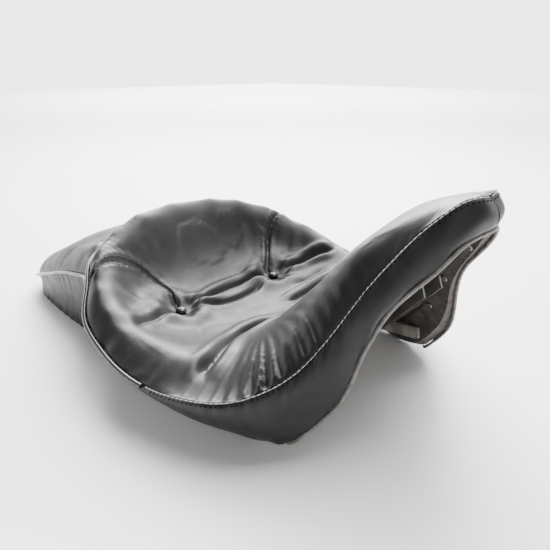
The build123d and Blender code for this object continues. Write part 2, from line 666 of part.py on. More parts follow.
# ---- rivets that hold the cover's turned-in edge to the pan
grid = pan_rows(41)
out_n = normals(grid)
out_n *= np.sign((out_n * row_normals(grid)).sum(2, keepdims=True))
heads = []
for i in (3, 5, 7, 9, 11, 15, 17, 19, 21):
    for j in (4, 36):
        heads.append(rivet(grid[i, j], -out_n[i, j], 3.4, 1.4, 0.6))
PARTS["cover_rivets"] = Compound(children=heads)

# ================================================================== export
os.makedirs("parts", exist_ok=True)
for name, shape in PARTS.items():
    shape.label = name
    export_step(shape, os.path.join("parts", name + ".step"))
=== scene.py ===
"""Visual model of a two-up motorcycle seat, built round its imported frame.

Station tables and surface functions repeat those of the CAD source, in
millimetres; M() turns them into metres in the part's frame.
"""
import bpy
import bmesh
import math
import numpy as np
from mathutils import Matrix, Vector


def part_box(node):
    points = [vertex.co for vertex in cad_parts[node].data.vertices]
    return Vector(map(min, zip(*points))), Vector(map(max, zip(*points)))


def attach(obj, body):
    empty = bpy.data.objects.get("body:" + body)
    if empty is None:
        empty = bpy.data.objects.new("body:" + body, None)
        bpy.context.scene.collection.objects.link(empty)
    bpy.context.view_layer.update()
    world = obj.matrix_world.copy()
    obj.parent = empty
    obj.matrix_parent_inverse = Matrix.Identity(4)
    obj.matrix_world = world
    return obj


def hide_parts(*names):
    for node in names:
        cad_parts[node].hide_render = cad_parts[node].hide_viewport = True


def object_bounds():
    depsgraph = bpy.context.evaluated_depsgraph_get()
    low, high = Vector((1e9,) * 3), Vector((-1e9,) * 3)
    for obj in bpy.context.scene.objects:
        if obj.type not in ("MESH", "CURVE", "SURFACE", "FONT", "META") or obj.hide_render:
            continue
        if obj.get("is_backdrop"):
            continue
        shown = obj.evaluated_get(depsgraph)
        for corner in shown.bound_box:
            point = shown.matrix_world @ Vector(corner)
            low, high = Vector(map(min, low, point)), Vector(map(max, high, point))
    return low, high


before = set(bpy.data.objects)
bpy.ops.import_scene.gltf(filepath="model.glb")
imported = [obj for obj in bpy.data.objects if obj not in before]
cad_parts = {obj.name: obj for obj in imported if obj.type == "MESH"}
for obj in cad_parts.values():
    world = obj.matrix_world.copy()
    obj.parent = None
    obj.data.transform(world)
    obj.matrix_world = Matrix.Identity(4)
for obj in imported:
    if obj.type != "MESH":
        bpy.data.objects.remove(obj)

X_SHIFT = 16.5
RIM_TUCK = 7.0
BUTTON_PITCH = 150.0
S_TIP = 0.012

# ------------------------------------------------------------------ station tables
# perimeter seam | band shoulder | band belly | hem, each x, half width, z
STATIONS = np.array([
    [299, 0, 222, 305, 0, 216, 308, 0, 207, 305, 0, 198],
    [298, 12, 223, 304, 13, 216, 306, 14, 207, 303, 14, 197],
    [293, 24, 222, 298, 26, 213, 300, 28, 202, 298, 30, 191],
    [284, 36, 213, 288, 40, 203, 291, 42, 191, 291, 41, 179],
    [270, 48, 195, 273, 53, 186, 276, 56, 171, 276, 53, 158],
    [258, 59, 175, 260, 65, 165, 263, 69, 149, 262, 63, 136],
    [248, 70, 156, 249, 78, 144, 252, 80, 126, 254, 74, 112],
    [240, 84, 135, 243, 92, 121, 247, 92, 102, 250, 84, 90],
    [232, 102, 112, 235, 110, 97, 240, 107, 75, 245, 93, 64],
    [221, 123, 90, 225, 128, 77, 227, 122, 54, 230, 106, 37],
    [205, 144, 75, 209, 147, 64, 209, 139, 40, 208, 116, 11.2],
    [181, 162, 63, 183, 165, 53, 184, 152, 31, 179, 123, 1.1],
    [148, 178, 58, 149, 179, 50, 147, 168, 30, 143, 130, 2.1],
    [111, 186, 54, 112, 186, 47, 109, 175, 34, 102, 142, 13],
    [68, 189, 55, 69, 189, 49, 66, 178, 43, 62, 150, 24],
    [28, 187, 62, 28, 187, 57, 25, 175, 49, 24, 149, 27],
    [-12, 179, 75, -13, 179, 69, -14, 168, 56, -16, 144, 16],
    [-44, 158, 92, -46, 158, 85, -47, 152, 66, -48, 139, 7],
    [-74, 139, 104, -77, 140, 95, -74, 132, 82, -64, 104, 64],
    [-98, 110, 109, -102, 111, 100, -98, 103, 87, -86, 80, 68],
    [-118, 70, 111, -122, 71, 102, -118, 66, 88, -104, 50, 68],
    [-132, 0, 111, -136, 0, 102, -131, 0, 88, -114, 0, 68],
], float)
ROW_J = 17                     # station where the pillion meets the bucket rim

# heights of the sat-on surface, before its edges roll down to the seam
TOP_POINTS = [
    (0, 0, 48), (45, 0, 45), (80, 0, 43), (-38, 0, 56), (-72, 0, 86), (-100, 0, 126),
    (-121, 0, 147), (-136, 0, 148), (0, 40, 47), (0, 75, 46), (45, 60, 45), (70, 40, 44),
    (-45, 50, 63), (-76, 45, 94), (-40, 85, 66), (0, 110, 58), (50, 100, 51), (90, 70, 48),
    (-108, 58, 144), (-120, 64, 145), (-96, 96, 136), (-108, 104, 136), (-74, 128, 124),
    (-84, 137, 123), (-50, 147, 114), (-56, 156, 112), (-20, 160, 102), (-25, 172, 99),
    (12, 167, 88), (10, 181, 82), (45, 168, 77), (45, 184, 71), (80, 160, 71), (85, 180, 64),
    (112, 150, 69), (122, 170, 62), (-72, 88, 101), (-45, 115, 88), (-5, 138, 76),
    (40, 138, 64), (80, 125, 60), (110, 0, 62), (135, 0, 86), (160, 0, 114), (183, 0, 138),
    (196, 0, 155), (208, 0, 168), (217, 0, 180), (234, 0, 197), (250, 0, 208), (266, 0, 215),
    (280, 0, 219), (292, 0, 222), (299, 0, 223), (120, 50, 66), (150, 45, 98), (185, 45, 136),
    (215, 40, 172), (240, 30, 196), (260, 25, 209), (280, 20, 218), (292, 12, 222),
    (125, 90, 66), (150, 90, 84), (180, 85, 112), (205, 75, 144), (228, 62, 172),
    (248, 46, 193), (266, 38, 206), (282, 28, 216), (140, 125, 66), (165, 125, 77),
    (190, 115, 95), (212, 100, 119), (230, 84, 144), (243, 68, 165), (256, 57, 183),
    (168, 150, 63), (192, 140, 75), (212, 124, 95), (226, 106, 116),
]

# pillion: welt line | lower edge, from the bucket rim round to the rear centre
PILLION = np.array([
    [-47, 156, 84, -50, 139, 6],
    [-66, 148, 87, -68, 138, 2],
    [-84, 142, 86, -84, 137, 0.5],
    [-110, 140, 81, -110, 137, 0.5],
    [-160, 138, 69, -160, 138, 0.5],
    [-205, 136, 54, -205, 137, 0.5],
    [-250, 133, 39, -250, 134, 0.5],
    [-284, 127, 26, -284, 127, 2],
    [-303, 112, 19, -302, 112, 5],
    [-312, 84, 16, -310, 84, 7],
    [-316, 45, 15, -313, 45, 8],
    [-317, 0, 15, -314, 0, 8],
], float)
PILLION_TOP = [
    (-120, 0, 121), (-150, 0, 113), (-190, 0, 102), (-230, 0, 88), (-265, 0, 72), (-295, 0, 55), (-317, 0, 42),
    (-110, 60, 121), (-150, 60, 111), (-190, 60, 100), (-230, 60, 86), (-265, 60, 70), (-295, 60, 54), (-316, 50, 42),
    (-85, 115, 115), (-110, 110, 112), (-150, 110, 100), (-190, 110, 88), (-230, 110, 74), (-265, 105, 60), (-292, 100, 48),
    (-60, 140, 112), (-90, 138, 106), (-150, 135, 92), (-205, 133, 77), (-250, 130, 62), (-285, 118, 48),
]

# pan: hem line of the pan with the roof height above it (x, half width, z, roof x, roof z)
PAN = np.array([
    [296, 6, 189.5, 295.5, 190.5],
    [293, 20, 186, 291, 188.5],
    [287, 31, 177, 282.5, 183.5],
    [276, 44, 161, 267.5, 170],
    [262, 54, 139, 251, 150],
    [252, 64, 115, 235, 130],
    [247, 73, 93, 220, 113],
    [240, 82, 68, 204, 95.5],
    [225, 94, 42, 187, 79],
    [204, 105, 17, 168, 61],
    [178, 113, 7, 148, 47],
    [145, 121, 8, 128, 36],
    [104, 133, 17, 98, 26.5],
    [62, 141, 28, 62, 22],
    [24, 140, 31, 24, 22],
    [-16, 136, 20, -16, 24],
    [-50, 132, 10, -50, 26],
    [-84, 131, 4, -84, 27],
    [-120, 131, 3, -120, 26],
    [-160, 131, 3, -160, 24],
    [-205, 130, 3, -205, 21],
    [-250, 127, 3, -250, 17],
    [-284, 119, 5, -284, 13],
    [-300, 94, 9, -301, 11.5],
], float)


# ------------------------------------------------------------------ curve helpers
def spline(t, P):
    """Natural cubic spline through P at parameters t."""
    t = np.asarray(t, float)
    P = np.asarray(P, float)
    flat = P.ndim == 1
    if flat:
        P = P[:, None]
    n, h = len(t), np.diff(t)
    A, B = np.zeros((n, n)), np.zeros((n, P.shape[1]))
    A[0, 0] = A[-1, -1] = 1
    for i in range(1, n - 1):
        A[i, i - 1], A[i, i], A[i, i + 1] = h[i - 1], 2 * (h[i - 1] + h[i]), h[i]
        B[i] = 6 * ((P[i + 1] - P[i]) / h[i] - (P[i] - P[i - 1]) / h[i - 1])
    M = np.linalg.solve(A, B)

    def f(x):
        x = np.asarray(x, float)
        shape = x.shape
        x = x.ravel()
        i = np.clip(np.searchsorted(t, x, side="right") - 1, 0, n - 2)
        hh = h[i][:, None]
        a, b = (t[i + 1] - x)[:, None], (x - t[i])[:, None]
        y = (M[i] * a**3 / (6 * hh) + M[i + 1] * b**3 / (6 * hh)
             + (P[i] / hh - M[i] * hh / 6) * a + (P[i + 1] / hh - M[i + 1] * hh / 6) * b)
        y = y.reshape(shape + (P.shape[1],))
        return y[..., 0] if flat else y
    return f


def mirrored(T, P, k=4):
    """Spline of a half table that stays smooth across the centre plane."""
    tt = np.concatenate([-T[k:0:-1], T, 2 * T[-1] - T[-2:-2 - k:-1]])
    m = np.array([1, -1, 1])
    return spline(tt, np.concatenate([P[k:0:-1] * m, P, P[-2:-2 - k:-1] * m]))


def half_open(T, P, k=4):
    """Spline of a half table that crosses the centre plane only at its last row."""
    tt = np.concatenate([T, 2 * T[-1] - T[-2:-2 - k:-1]])
    return spline(tt, np.concatenate([P, P[-2:-2 - k:-1] * np.array([1, -1, 1])]))


def lengths(P):
    return np.concatenate([[0], np.cumsum(np.linalg.norm(np.diff(P, axis=0), axis=1))])


T = lengths(STATIONS[:, 0:3])
T = T / T[-1]
SEAM, SHOULDER, BELLY, HEM = [mirrored(T, STATIONS[:, i:i + 3]) for i in (0, 3, 6, 9)]
S_J = T[ROW_J]
TP = lengths(PILLION[:, 0:3])
TP = TP / TP[-1]
WELT = half_open(TP, PILLION[:, 0:3])
LOWER = half_open(TP, PILLION[:, 3:6])


def thin_plate(points):
    P, Z = [], []
    for x, y, z in points:
        P.append((x, y))
        Z.append(z)
        if y > 0:
            P.append((x, -y))
            Z.append(z)
    P, Z = np.array(P) / 100, np.array(Z, float)
    n = len(P)

    def kern(r):
        return np.where(r > 0, r**2 * np.log(r + 1e-12), 0)
    K = kern(np.linalg.norm(P[:, None] - P[None], axis=2)) + np.eye(n) * 0.002
    Q = np.c_[np.ones(n), P]
    w = np.linalg.solve(np.block([[K, Q], [Q.T, np.zeros((3, 3))]]), np.r_[Z, 0, 0, 0])

    def f(x, y):
        x, y = np.asarray(x, float), np.asarray(y, float)
        X = np.stack([x.ravel(), y.ravel()], 1) / 100
        k = kern(np.linalg.norm(X[:, None] - P[None], axis=2))
        return (k @ w[:n] + w[n] + X @ w[n + 1:]).reshape(x.shape)
    return f


TOP = thin_plate(TOP_POINTS)
PTOP = thin_plate(PILLION_TOP)
ROLL = spline([-.1, 0, .08, .2, .32, .42, .55, .7, .85, 1., 1.1],
              [8, 9, 12, 18, 26, 34, 40, 40, 34, 30, 30])


def nearest(loop, x, y):
    """Plan distance to a polyline loop, and the index position along it."""
    p = np.stack([np.ravel(x), np.ravel(y)], 1)
    a, b = loop[:-1, :2], loop[1:, :2]
    ab = b - a
    t = np.clip(((p[:, None] - a) * ab).sum(2) / (ab**2).sum(1), 0, 1)
    q = a + ab * t[..., None]
    d = np.linalg.norm(p[:, None] - q, axis=2)
    i = d.argmin(1)
    k = np.arange(len(p))
    return d[k, i].reshape(np.shape(x)), (i + t[k, i]).reshape(np.shape(x))


SS = np.linspace(-1, 1, 401)
LOOP = SEAM(np.abs(SS)) * np.stack([np.ones(401), np.where(SS < 0, -1.0, 1.0), np.ones(401)], 1)
ROLL_W, SEAM_Z = ROLL(np.abs(SS)), LOOP[:, 2]


def height(x, y):
    """Sat-on surface of the rider's bucket and nose."""
    d, i = nearest(LOOP, x, y)
    w = np.interp(i, np.arange(len(SS)), ROLL_W)
    zs = np.interp(i, np.arange(len(SS)), SEAM_Z)
    g = np.sqrt(np.clip(1 - (1 - np.clip(d / w, 0, 1))**2, 0, 1))
    return zs + (TOP(x, y) - zs) * g


# the pillion's outline is its welt; the bucket rim closes it in front
P_SIDE = WELT(np.linspace(0, 1, 121))
P_LOOP = np.concatenate([P_SIDE, (P_SIDE * [1, -1, 1])[-2::-1]])
RIM = SEAM(np.concatenate([np.linspace(S_J, 1, 60), 2 - np.linspace(1, S_J, 60)[1:]]))


def pillion_height(x, y):
    """Sat-on surface of the pillion pad, tucked under the bucket rim in front."""
    d, i = nearest(P_LOOP, x, y)
    zs = np.interp(i, np.arange(len(P_LOOP)), P_LOOP[:, 2])
    g = np.sqrt(np.clip(1 - (1 - np.clip(d / 26, 0, 1))**2, 0, 1))
    z = zs + (PTOP(x, y) - zs) * g
    d2, j = nearest(RIM, x, y)
    zr = np.interp(j, np.arange(len(RIM)), RIM[:, 2]) - RIM_TUCK
    g2 = np.sqrt(np.clip(1 - (1 - np.clip(d2 / 22, 0, 1))**2, 0, 1))
    return np.minimum(z, zr) * (1 - g2) + z * g2


def cosine(n, k=1.0):
    """-1..1, closer together at both ends."""
    a = np.linspace(-1, 1, n)
    return (1 - k) * a + k * np.sin(a * np.pi / 2)


def band_rows(s0, s1, n_s, n_v):
    s = np.linspace(s0, s1, n_s)
    nodes = [0, .22, .58, 1.]
    P = [f(s) for f in (SEAM, SHOULDER, BELLY, HEM)]
    G = []
    for v in np.linspace(0.0, 1, n_v):
        row = 0
        for i in range(4):
            l = 1
            for j in range(4):
                if j != i:
                    l *= (v - nodes[j]) / (nodes[i] - nodes[j])
            row = row + l * P[i]
        G.append(row)
    G = np.stack(G, 1)
    return G


def pillion_rows(n_rows, n, inset=0.0):
    """Rows from the bucket rim to the rear welt."""
    t = cosine(n)
    ys = np.abs(t) * 156
    rim_s = np.linspace(S_J, 1, 80)
    rim = SEAM(rim_s)
    shape = np.interp(ys, rim[::-1, 1], rim[::-1, 0])
    shape = (shape - shape[0]) / (shape[n // 2] - shape[0])
    q = np.linspace(0, 1, n_rows)
    ends = WELT(0.93 * (0.03 + 0.97 * q))
    mid = spline([0, .5, 1], [-140, -232, -316.5])(q)
    G = []
    for k in range(n_rows):
        x_e, y_e = ends[k, 0], ends[k, 1]
        y = y_e * t
        x = x_e + (mid[k] - x_e) * shape
        G.append(np.stack([x, y], 1))
    G = np.array(G)
    c = np.array([-200.0, 0])
    G = c + (G - c) * (1 - inset)
    z = chunked(pillion_height, G[..., 0], G[..., 1])
    return np.concatenate([G, z[..., None]], 2)


def pillion_band_rows(s0, s1, n_s, n_v):
    s = np.linspace(s0, s1, n_s)
    a, b = WELT(s), LOWER(s)
    G = []
    for v in np.linspace(0.0, 1, n_v):
        p = a + (b - a) * v
        t = np.gradient(a, axis=0)
        out = np.stack([t[:, 1], -t[:, 0], 0 * t[:, 0]], 1)
        out /= -np.linalg.norm(out, axis=1, keepdims=True)
        tall = np.clip((a[:, 2] - b[:, 2]) / 80, 0, 1)[:, None]
        G.append(p + out * 4.0 * np.sin(np.pi * v) * tall)
    return np.stack(G, 1)


def pan_rows(n=21, scale=1.0):
    """Underside of the pan: boxy arch between the hems."""
    a = 0.09
    phi = np.linspace(-np.pi / 2, np.pi / 2, n) * scale
    yy = (np.sin(phi) + a * np.sin(3 * phi)) / (1 - a)
    zz = (np.cos(phi) - a * np.cos(3 * phi)) / (1 - a)
    G = []
    for xh, yh, zh, xr, zr in PAN:
        G.append(np.stack([xh + (xr - xh) * zz, yh * yy, zh + (zr - zh) * zz], 1))
    return np.array(G)



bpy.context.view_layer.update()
RNG = np.random.default_rng(7)


def M(G):
    """Station millimetres to metres in the part's frame."""
    return (np.asarray(G, float) + np.array([X_SHIFT, 0, 0])) * 0.001


def waves(seed, wavelength, n=14):
    r = np.random.default_rng(seed)
    a = r.uniform(0, 2 * np.pi, n)
    k = 2 * np.pi / (wavelength * r.uniform(0.7, 1.5, n))
    ph = r.uniform(0, 2 * np.pi, n)

    def f(x, y):
        o = np.zeros(np.shape(x))
        for i in range(n):
            o = o + np.sin(k[i] * (np.cos(a[i]) * x + np.sin(a[i]) * y) + ph[i])
        return o / np.sqrt(n)
    return f


def chunked(f, x, y, size=6000):
    xs, ys = np.ravel(x), np.ravel(y)
    out = [f(xs[i:i + size], ys[i:i + size]) for i in range(0, len(xs), size)]
    if isinstance(out[0], tuple):
        return tuple(np.concatenate([o[k] for o in out]).reshape(np.shape(x)) for k in range(len(out[0])))
    return np.concatenate(out).reshape(np.shape(x))


def polyline(points, n=60):
    P = np.array(points, float)
    t = np.r_[0, np.cumsum(np.linalg.norm(np.diff(P, axis=0), axis=1))]
    return spline(t / t[-1], P)(np.linspace(0, 1, n))


def crease(x, y, points, depth, width, lip=0.45, taper=0.18):
    """A fold pressed into the cover along a line, with a soft lip each side."""
    P = polyline(points)
    P3 = np.c_[P, np.zeros(len(P))]
    lo, hi = P.min(0) - 40, P.max(0) + 40
    m = (x > lo[0]) & (x < hi[0]) & (y > lo[1]) & (y < hi[1])
    o = np.zeros(np.shape(x))
    if not m.any():
        return o
    d, i = chunked(lambda a, b: nearest(P3, a, b), x[m], y[m])
    u = i / (len(P) - 1)
    k = np.clip(u / max(taper, 1e-3), 0, 1) * np.clip((1 - u) / max(taper, 1e-3), 0, 1)
    k = k * k * (3 - 2 * k)
    o[m] = k * (-depth * np.exp(-(d / width) ** 2) + lip * depth * np.exp(-((d - 2.6 * width) / (1.5 * width)) ** 2))
    return o


def normals3(G):
    n = np.cross(np.gradient(G, axis=0), np.gradient(G, axis=1))
    return n / (np.linalg.norm(n, axis=2, keepdims=True) + 1e-12)


def make_mesh(name, V, F, mats, index=None):
    me = bpy.data.meshes.new(name)
    me.from_pydata([tuple(v) for v in V.tolist()], [], F)
    me.validate()
    bm = bmesh.new()
    bm.from_mesh(me)
    bmesh.ops.recalc_face_normals(bm, faces=bm.faces)
    bm.to_mesh(me)
    bm.free()
    me.polygons.foreach_set("use_smooth", [True] * len(me.polygons))
    me.set_sharp_from_angle(angle=math.radians(62))
    ob = bpy.data.objects.new(name, me)
    bpy.context.collection.objects.link(ob)
    for m in (mats if isinstance(mats, (list, tuple)) else [mats]):
        me.materials.append(m)
    if index is not None and len(index) == len(me.polygons):
        me.polygons.foreach_set("material_index", index)
    me.update()
    return ob


def grid_faces(a, b, off=0, flip=False):
    F = []
    for i in range(a - 1):
        for j in range(b - 1):
            q = [off + i * b + j, off + i * b + j + 1, off + (i + 1) * b + j + 1, off + (i + 1) * b + j]
            F.append(q[::-1] if flip else q)
    return F


def shell(name, A, B, mats, split=False):
    """Closed piece between an outer grid A and an inner grid B of the same size (station mm)."""
    a, b = A.shape[:2]
    V = np.concatenate([M(A).reshape(-1, 3), M(B).reshape(-1, 3)])
    n = a * b
    F = grid_faces(a, b) + grid_faces(a, b, n, True)
    k = len(F)
    ring = ([(i, 0) for i in range(a)] + [(a - 1, j) for j in range(1, b)]
            + [(i, b - 1) for i in range(a - 2, -1, -1)] + [(0, j) for j in range(b - 2, 0, -1)])
    for (i, j), (p, q) in zip(ring, ring[1:] + ring[:1]):
        F.append([i * b + j, p * b + q, n + p * b + q, n + i * b + j])
    idx = [0] * ((a - 1) * (b - 1)) + ([1] * ((a - 1) * (b - 1)) if split else [0] * ((a - 1) * (b - 1)))
    idx += [0] * (len(F) - k)
    return make_mesh(name, V, F, mats, idx)


# ------------------------------------------------------------------ materials
def node_mat(name):
    m = bpy.data.materials.new(name)
    m.use_nodes = True
    nt = m.node_tree
    bs = nt.nodes["Principled BSDF"]
    return m, nt, bs


def ramp(nt, fac, stops):
    r = nt.nodes.new("ShaderNodeValToRGB")
    el = r.color_ramp.elements
    while len(el) < len(stops):
        el.new(0.5)
    for e, (p, c) in zip(el, stops):
        e.position = p
        e.color = (c[0], c[1], c[2], 1)
    nt.links.new(fac, r.inputs[0])
    return r.outputs[0]


def tex(nt, kind, scale, detail=2.0, rough=0.5, stretch=None):
    tc = nt.nodes.new("ShaderNodeTexCoord")
    src = tc.outputs["Object"]
    if stretch:
        mp = nt.nodes.new("ShaderNodeMapping")
        mp.inputs["Scale"].default_value = stretch
        nt.links.new(src, mp.inputs["Vector"])
        src = mp.outputs[0]
    if kind == "noise":
        t = nt.nodes.new("ShaderNodeTexNoise")
        t.inputs["Scale"].default_value = scale
        t.inputs["Detail"].default_value = detail
        t.inputs["Roughness"].default_value = rough
        out = t.outputs[0]
    else:
        t = nt.nodes.new("ShaderNodeTexVoronoi")
        t.feature = kind
        t.inputs["Scale"].default_value = scale
        out = t.outputs["Distance"]
    nt.links.new(src, t.inputs["Vector"])
    return out


def bump(nt, height, strength, distance, prev=None):
    b = nt.nodes.new("ShaderNodeBump")
    b.inputs["Strength"].default_value = strength
    b.inputs["Distance"].default_value = distance
    nt.links.new(height, b.inputs["Height"])
    if prev is not None:
        nt.links.new(prev, b.inputs["Normal"])
    return b.outputs[0]


def leather(name, dark, light, r_lo, r_hi, coat=0.0, grain=620, strength=0.22):
    m, nt, bs = node_mat(name)
    big = tex(nt, "noise", 26, 4, 0.6)
    nt.links.new(ramp(nt, big, [(0.30, dark), (0.72, light)]), bs.inputs["Base Color"])
    mid = tex(nt, "noise", 70, 5, 0.62)
    rr = ramp(nt, mid, [(0.25, (r_lo,) * 3), (0.75, (r_hi,) * 3)])
    nt.links.new(rr, bs.inputs["Roughness"])
    g = tex(nt, "SMOOTH_F1", grain)
    n1 = bump(nt, g, strength, 0.00022)
    f = tex(nt, "noise", 240, 4, 0.6)
    n2 = bump(nt, f, 0.20, 0.0004, n1)
    u = tex(nt, "noise", 46, 3, 0.5)
    n3 = bump(nt, u, 0.11, 0.0016, n2)
    nt.links.new(n3, bs.inputs["Normal"])
    bs.inputs["Specular IOR Level"].default_value = 0.27
    bs.inputs["Coat Weight"].default_value = coat
    bs.inputs["Coat Roughness"].default_value = 0.16
    return m


def plain(name, c1, c2, r_lo, r_hi, metallic=0.0, scale=60, bscale=400, bstr=0.25, bdist=0.0003, spec=0.5):
    m, nt, bs = node_mat(name)
    t = tex(nt, "noise", scale, 5, 0.6)
    nt.links.new(ramp(nt, t, [(0.32, c1), (0.68, c2)]), bs.inputs["Base Color"])
    t2 = tex(nt, "noise", scale * 2.3, 4, 0.6)
    nt.links.new(ramp(nt, t2, [(0.3, (r_lo,) * 3), (0.7, (r_hi,) * 3)]), bs.inputs["Roughness"])
    nt.links.new(bump(nt, tex(nt, "noise", bscale, 4, 0.65), bstr, bdist), bs.inputs["Normal"])
    bs.inputs["Metallic"].default_value = metallic
    bs.inputs["Specular IOR Level"].default_value = spec
    return m


LEATHER = leather("leather_top", (0.0042, 0.0042, 0.0043), (0.0085, 0.0082, 0.0080), 0.36, 0.50, 0.0)
LEATHER_SIDE = leather("leather_side", (0.0042, 0.0042, 0.0043), (0.009, 0.0086, 0.0084), 0.38, 0.52, 0.0)
BACKING = plain("cover_backing", (0.09, 0.082, 0.075), (0.20, 0.185, 0.17), 0.8, 0.95, 0, 120, 900, 0.6, 0.0006, 0.2)
FLAP = plain("turned_edge", (0.035, 0.031, 0.028), (0.085, 0.076, 0.069), 0.6, 0.85, 0, 90, 700, 0.5, 0.0005, 0.3)
PIPING = leather("leather_piping", (0.008, 0.008, 0.008), (0.016, 0.015, 0.015), 0.20, 0.32, 0.3, 700, 0.12)
TRIM = plain("hem_edge", (0.07, 0.066, 0.062), (0.17, 0.16, 0.15), 0.5, 0.7, 0, 150, 600, 0.3, 0.0003)
THREAD = plain("thread_light", (0.26, 0.255, 0.25), (0.42, 0.41, 0.40), 0.5, 0.7, 0, 900, 2500, 0.5, 0.0002)
THREAD_D = plain("thread_dark", (0.02, 0.02, 0.02), (0.05, 0.048, 0.045), 0.45, 0.6, 0, 900, 2500, 0.5, 0.0002)
# near-black needle-hole colour: painted shade standing in for the dark inside of each hole
HOLE_SHADE_PAINT = plain("needle_hole_painted_shade", (0.001, 0.001, 0.001), (0.003, 0.003, 0.003), 0.8, 0.9, 0, 200, 900, 0.1, 0.0001, 0.1)
PAN_M = plain("pan_plastic", (0.022, 0.019, 0.017), (0.050, 0.043, 0.038), 0.55, 0.8, 0, 40, 500, 0.5, 0.0005, 0.35)
STEEL_B = plain("bracket_paint", (0.020, 0.019, 0.018), (0.045, 0.042, 0.039), 0.35, 0.55, 0.2, 55, 700, 0.25, 0.0003)
ZINC = plain("zinc", (0.16, 0.16, 0.155), (0.30, 0.30, 0.29), 0.35, 0.55, 1.0, 150, 900, 0.2, 0.0002)
RUBBER = plain("rubber", (0.012, 0.012, 0.012), (0.030, 0.029, 0.028), 0.6, 0.8, 0, 80, 700, 0.35, 0.0004, 0.35)
BAR = plain("worn_bar", (0.16, 0.15, 0.135), (0.42, 0.39, 0.35), 0.4, 0.65, 0.6, 70, 600, 0.3, 0.0004)
WASHER = plain("washer_plastic", (0.02, 0.02, 0.02), (0.045, 0.045, 0.045), 0.5, 0.7, 0, 90, 500, 0.3, 0.0003)
TWINE = plain("twine", (0.30, 0.25, 0.17), (0.50, 0.44, 0.33), 0.6, 0.8, 0, 500, 2200, 0.6, 0.0003)
FOAM = plain("foam", (0.42, 0.36, 0.22), (0.62, 0.55, 0.38), 0.85, 0.95, 0, 120, 900, 0.8, 0.0008, 0.2)

# ------------------------------------------------------------------ rider's cover
NEAR_SEAM = [(3, -75), (-14, -73), (-37, -70), (-50, -77), (-61, -88), (-62, -107), (-57, -125), (-51, -141), (-45, -158)]
FAR_SEAM = [(3, 75), (-11, 76), (-23, 87), (-35, 99), (-45, 111), (-50, 126), (-53, 141), (-50, 157)]
FOLDS = [
    ([(-1, -70), (-4, -50), (-11, -12), (-12, 20), (-9, 48), (-3, 70)], 6.6, 3.8, 0.35, 0.10),
    ([(8, -76), (7, -50), (15, -16), (12, 30), (8, 60)], 4.6, 4.0, 0.35, 0.22),
    ([(3, 84), (7, 102), (12, 124), (26, 145), (42, 158)], 5.6, 3.6, 0.5, 0.22),
    ([(4, -84), (9, -104), (16, -124), (28, -143), (40, -155)], 4.0, 4.0, 0.5, 0.25),
    ([(90, 8), (84, -22), (84, -48), (94, -76), (112, -104), (126, -126), (136, -146), (146, -160)], 6.4, 4.4, 0.55, 0.16),
    ([(66, 30), (64, 60), (66, 92), (74, 118), (86, 138)], 5.0, 4.2, 0.5, 0.22),
    ([(92, 40), (98, 72), (112, 100), (128, 120)], 3.0, 5.0, 0.4, 0.3),
    ([(40, 66), (44, 88), (46, 112), (54, 132)], 2.4, 4.2, 0.4, 0.4),
    ([(168, -84), (180, -64), (194, -61), (210, -68)], 1.6, 7.0, 0.3, 0.4),
    ([(170, 82), (182, 64), (196, 60), (210, 66)], 1.4, 7.0, 0.3, 0.4),
    ([(30, -66), (48, -84), (70, -98), (92, -104)], 1.2, 5.0, 0.4, 0.4),
    ([(-30, -30), (-36, 0), (-33, 34)], 1.0, 7.0, 0.3, 0.4),
    ([(112, -40), (118, -8), (116, 30)], 1.1, 7.0, 0.3, 0.4),
    ([(-14, -100), (-28, -118), (-36, -138)], 1.0, 4.5, 0.4, 0.4),
    ([(-8, 104), (-20, 124), (-26, 144)], 1.0, 4.5, 0.4, 0.4),
]
W1, W2, W3, W4 = waves(1, 95), waves(2, 44), waves(3, 23), waves(4, 12)
ARC = np.r_[0, np.cumsum(np.linalg.norm(np.diff(LOOP, axis=0), axis=1))]


def pucker(arc, seed, lo, hi):
    """Irregular gathers along a seam: -1..1 by arc length."""
    r = np.random.default_rng(seed)
    o = np.zeros(np.shape(arc))
    for k in range(9):
        o = o + np.sin(2 * np.pi * arc / r.uniform(lo, hi) + r.uniform(0, 6.28))
    return o / 3.0


